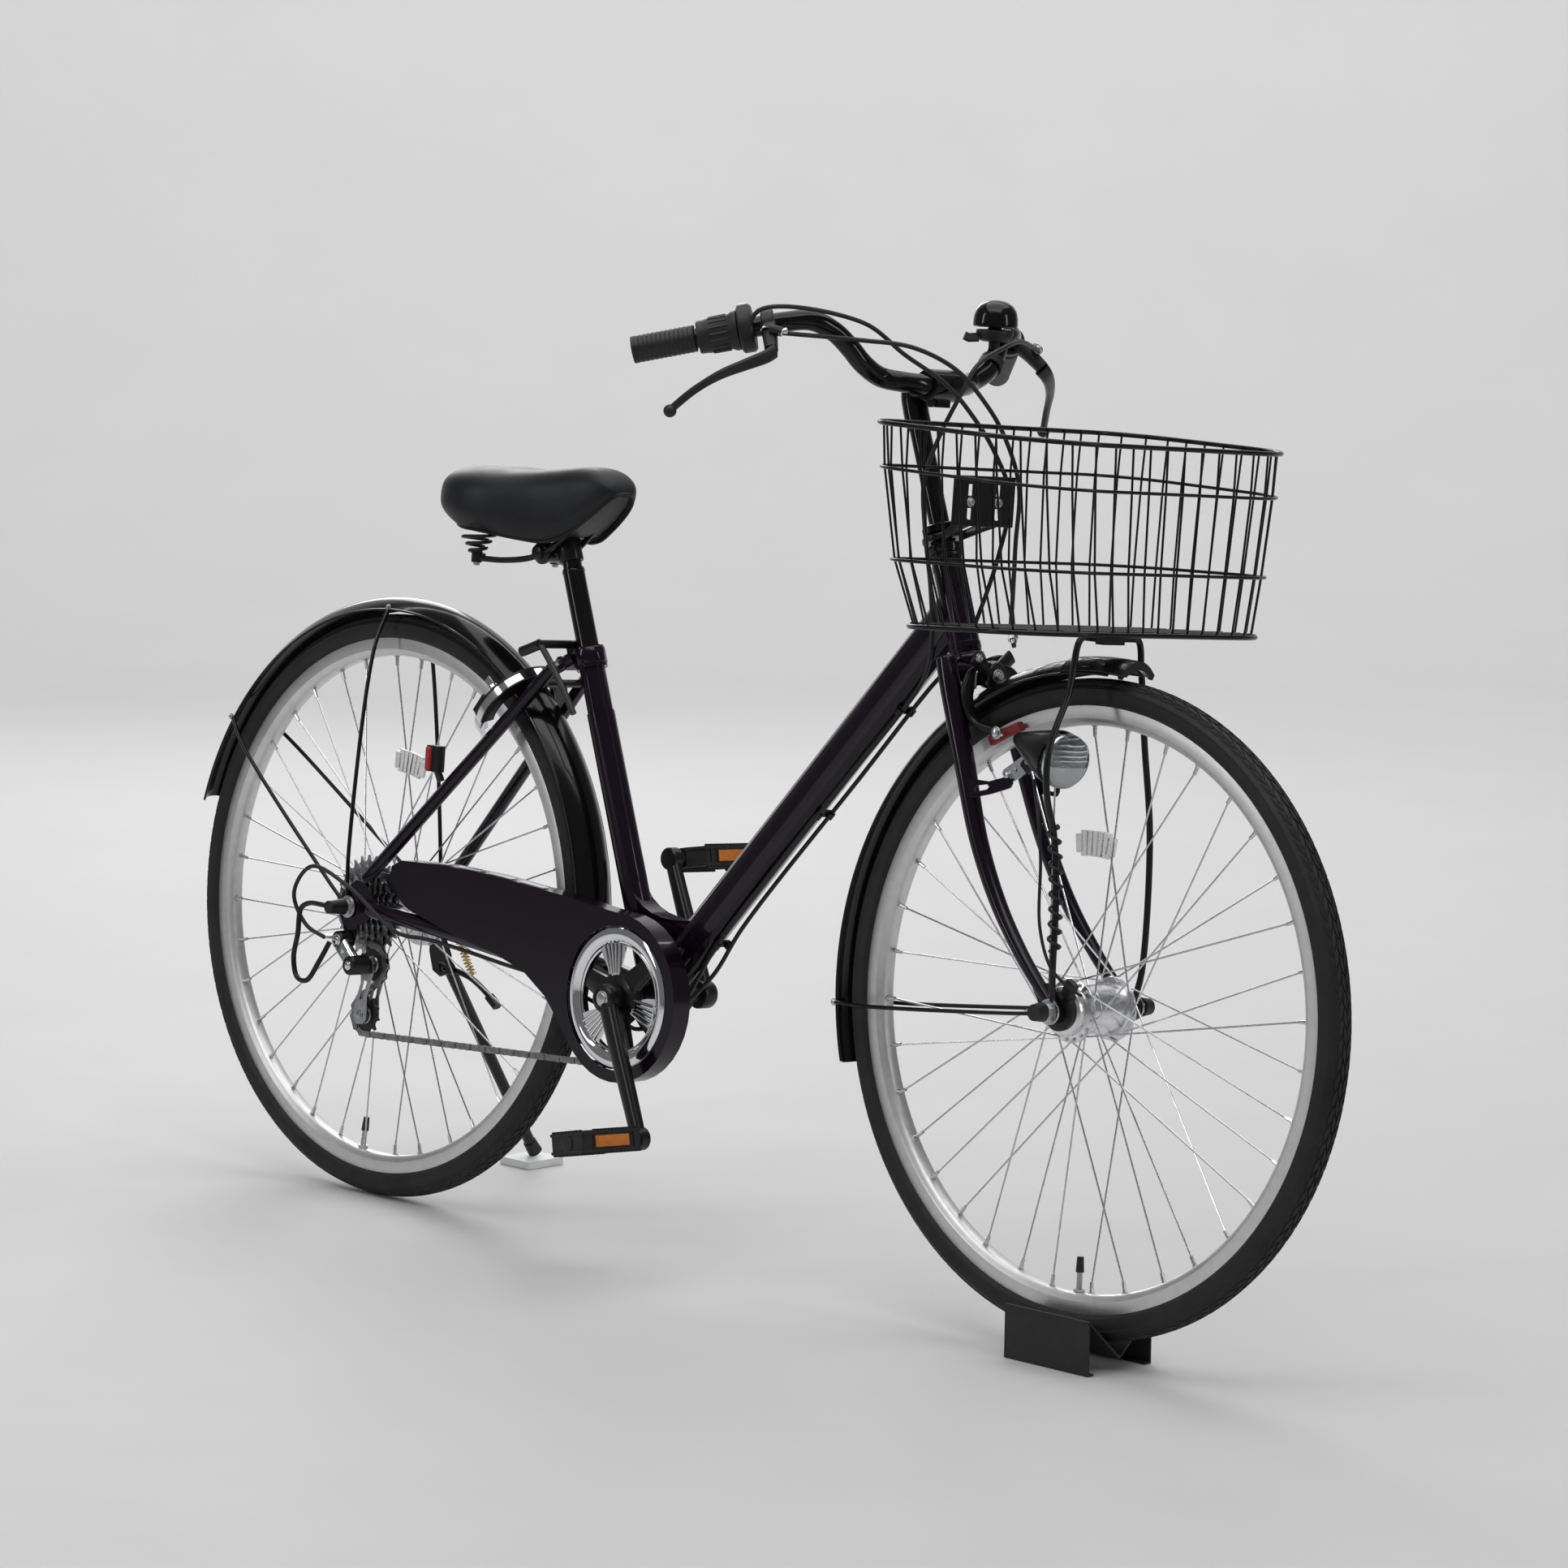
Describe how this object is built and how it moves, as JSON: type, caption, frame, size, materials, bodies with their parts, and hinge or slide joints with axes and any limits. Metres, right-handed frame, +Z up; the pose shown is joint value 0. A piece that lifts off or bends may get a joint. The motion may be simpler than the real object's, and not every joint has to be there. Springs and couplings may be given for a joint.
{
  "type": "bicycle on stand",
  "caption": "City bicycle with a wire basket, mudguards, chain case and twist shifter, leaning on its kickstand with the front wheel in a folded floor stand",
  "frame": {"origin": "the middle of the object's box, on the floor", "axes": "+X towards the bicycle's front, +Y to its left, +Z up; the bicycle leans 4 degrees to its left, onto the kickstand"},
  "size_m": [1.797, 0.5816, 1.0771],
  "materials": {
    "paint": "very dark violet-black metallic gloss",
    "gloss_black": "gloss black enamel",
    "satin_black": "satin black coating",
    "matt_black": "matt black powder coat",
    "tyre": "black rubber with a block tread",
    "resin": "black moulded resin",
    "vinyl": "satin black vinyl",
    "silver": "satin anodised silver",
    "zinc": "bright zinc plating",
    "chrome": "mirror chrome",
    "chain_steel": "oiled grey steel",
    "lens": "clear moulded lens",
    "block": "plain white"
  },
  "bodies": {
    "frame_body": {"main_frame": "paint", "chain_stays": "paint", "seat_stays": "paint", "chain_case": "paint", "rear_mudguard": "gloss_black", "ring_lock": "chrome", "rear_brake": "zinc", "rear_axle": "satin_black", "chain": "chain_steel", "foot_block": "block", "shift_cable": "resin", "rear_brake_cable": "resin"},
    "seat_body": {"seat_post": "satin_black", "saddle_frame": "satin_black", "saddle": "vinyl"},
    "seat_clamp": {"seat_clamp_lever": "satin_black"},
    "fork_body": {"fork": "paint", "front_axle": "satin_black", "front_mudguard": "gloss_black", "basket_bracket": "satin_black", "basket": "satin_black", "basket_stay": "satin_black", "front_brake_cable": "resin", "lamp_lead": "resin"},
    "caliper_right": {"caliper_arm_right": "satin_black"},
    "caliper_left": {"caliper_arm_left": "satin_black"},
    "headlight": {"headlight_housing": "satin_black", "headlight_lens": "lens"},
    "stem_body": {"stem": "satin_black"},
    "handlebar_body": {"handlebar": "satin_black", "grip_right": "resin", "grip_left": "resin", "lever_bracket_right": "satin_black", "lever_bracket_left": "satin_black", "bell": "gloss_black", "shifter_housing": "resin"},
    "lever_right": {"brake_lever_right": "satin_black"},
    "lever_left": {"brake_lever_left": "satin_black"},
    "shifter": {"shift_grip": "resin"},
    "front_wheel": {"front_tyre": "tyre", "front_rim": "silver", "front_spokes": "zinc", "front_hub": "silver"},
    "rear_wheel": {"rear_tyre": "tyre", "rear_rim": "silver", "rear_spokes": "zinc", "rear_hub": "silver", "cassette": "satin_black"},
    "crankset": {"chainring": "chrome", "crank_right": "satin_black", "crank_left": "satin_black"},
    "right_pedal": {"pedal_right": "resin"},
    "left_pedal": {"pedal_left": "resin"},
    "derailleur": {"derailleur_knuckle": "satin_black"},
    "cage": {"derailleur_cage": "zinc"},
    "upper_pulley": {"guide_pulley": "resin"},
    "lower_pulley": {"tension_pulley": "resin"},
    "kickstand": {"kickstand_leg": "satin_black"},
    "lock_arc": {"lock_bolt": "chrome"},
    "floor_stand": {"wheel_stand": "matt_black"}
  },
  "joints": [
    {"name": "crank_turn", "type": "hinge", "parent": "frame_body", "child": "crankset", "pos_m": [-0.09647, -0.04631, 0.29257], "axis": [0, 0.9976, -0.0698], "continuous": true},
    {"name": "rear_wheel_turn", "type": "hinge", "parent": "frame_body", "child": "rear_wheel", "pos_m": [-0.55147, -0.04292, 0.34095], "axis": [0, 0.9976, -0.0698], "continuous": true},
    {"name": "right_pedal_turn", "type": "hinge", "parent": "crankset", "child": "right_pedal", "pos_m": [-0.01547, -0.14412, 0.1553], "axis": [0, 0.9976, -0.0698], "continuous": true},
    {"name": "left_pedal_turn", "type": "hinge", "parent": "crankset", "child": "left_pedal", "pos_m": [-0.17747, 0.05151, 0.42983], "axis": [0, 0.9976, -0.0698], "continuous": true},
    {"name": "steering", "type": "hinge", "parent": "frame_body", "child": "fork_body", "pos_m": [0.32488, -0.01353, 0.76125], "axis": [-0.3646, 0.065, 0.9289], "range_deg": [-50, 50], "deforming": ["shift_cable", "rear_brake_cable"]},
    {"name": "front_wheel_turn", "type": "hinge", "parent": "fork_body", "child": "front_wheel", "pos_m": [0.55703, -0.04135, 0.36339], "axis": [0, 0.9976, -0.0698], "continuous": true},
    {"name": "caliper_right_turn", "type": "hinge", "parent": "fork_body", "child": "caliper_right", "pos_m": [0.37853, -0.01834, 0.69259], "axis": [1, 0, 0], "range_deg": [0, 0.8]},
    {"name": "caliper_left_turn", "type": "hinge", "parent": "fork_body", "child": "caliper_left", "pos_m": [0.38803, -0.01834, 0.69259], "axis": [1, 0, 0], "range_deg": [-0.8, 0]},
    {"name": "headlight_tilt", "type": "hinge", "parent": "fork_body", "child": "headlight", "pos_m": [0.46453, -0.07498, 0.59931], "axis": [0, 0.9976, -0.0698], "range_deg": [-6, 6]},
    {"name": "stem_height", "type": "slide", "parent": "fork_body", "child": "stem_body", "axis": [-0.3646, 0.065, 0.9289], "range_m": [-0.015, 0.03], "deforming": ["front_brake_cable"]},
    {"name": "handlebar_tilt", "type": "hinge", "parent": "stem_body", "child": "handlebar_body", "pos_m": [0.27853, 0.00245, 0.98986], "axis": [0, 0.9976, -0.0698], "range_deg": [-12, 12]},
    {"name": "right_lever_pull", "type": "hinge", "parent": "handlebar_body", "child": "lever_right", "pos_m": [0.23373, -0.20131, 1.02618], "axis": [-0.3126, 0.7174, -0.6226], "range_deg": [0, 18], "stiffness_Nm_per_rad": 0.4, "springref_deg": -20.05},
    {"name": "left_lever_pull", "type": "hinge", "parent": "handlebar_body", "child": "lever_left", "pos_m": [0.23373, 0.20929, 0.99747], "axis": [0.3126, 0.797, 0.5167], "range_deg": [0, 18], "stiffness_Nm_per_rad": 0.4, "springref_deg": -20.05},
    {"name": "shift_twist", "type": "hinge", "parent": "handlebar_body", "child": "shifter", "pos_m": [0.16366, -0.21163, 1.04361], "axis": [0.7236, 0.66, 0.202], "range_deg": [-60, 60]},
    {"name": "derailleur_swing", "type": "hinge", "parent": "frame_body", "child": "derailleur", "pos_m": [-0.55047, -0.12342, 0.30798], "axis": [0, 0.9976, -0.0698], "range_deg": [-2, 12], "stiffness_Nm_per_rad": 0.6, "springref_deg": -22.92, "deforming": ["chain"]},
    {"name": "cage_swing", "type": "hinge", "parent": "derailleur", "child": "cage", "pos_m": [-0.52747, -0.09438, 0.27888], "axis": [0, 0.9976, -0.0698], "range_deg": [-2, 20], "stiffness_Nm_per_rad": 0.4, "springref_deg": -22.92, "deforming": ["chain"]},
    {"name": "upper_pulley_turn", "type": "hinge", "parent": "cage", "child": "upper_pulley", "pos_m": [-0.52747, -0.09438, 0.27888], "axis": [0, 0.9976, -0.0698], "continuous": true},
    {"name": "lower_pulley_turn", "type": "hinge", "parent": "cage", "child": "lower_pulley", "pos_m": [-0.53547, -0.09856, 0.21903], "axis": [0, 0.9976, -0.0698], "continuous": true},
    {"name": "seat_height", "type": "slide", "parent": "frame_body", "child": "seat_body", "axis": [-0.3646, 0.065, 0.9289], "range_m": [-0.07, 0.06]},
    {"name": "seat_clamp_turn", "type": "hinge", "parent": "frame_body", "child": "seat_clamp", "pos_m": [-0.26547, -0.01987, 0.67064], "axis": [0, 0.9976, -0.0698], "range_deg": [0, 70]},
    {"name": "kickstand_fold", "type": "hinge", "parent": "frame_body", "child": "kickstand", "pos_m": [-0.53947, 0.02983, 0.26318], "axis": [0.18, 0.8243, 0.5367], "range_deg": [0, 85]},
    {"name": "lock_close", "type": "hinge", "parent": "frame_body", "child": "lock_arc", "pos_m": [-0.35102, -0.02535, 0.59233], "axis": [0.7826, -0.0434, -0.621], "range_deg": [0, 80]},
    {"name": "floor_stand_drop", "type": "slide", "parent": "fork_body", "child": "floor_stand", "axis": [0, 0, 1], "range_m": [-0.06, 0]}
  ],
  "couplings": [
    {"joint": "rear_wheel_turn", "follows": "crank_turn", "ratio": 1.9},
    {"joint": "upper_pulley_turn", "follows": "crank_turn", "ratio": -3.4545},
    {"joint": "lower_pulley_turn", "follows": "crank_turn", "ratio": 3.4545},
    {"joint": "caliper_right_turn", "follows": "right_lever_pull", "ratio": 0.04},
    {"joint": "caliper_left_turn", "follows": "right_lever_pull", "ratio": -0.04}
  ]
}
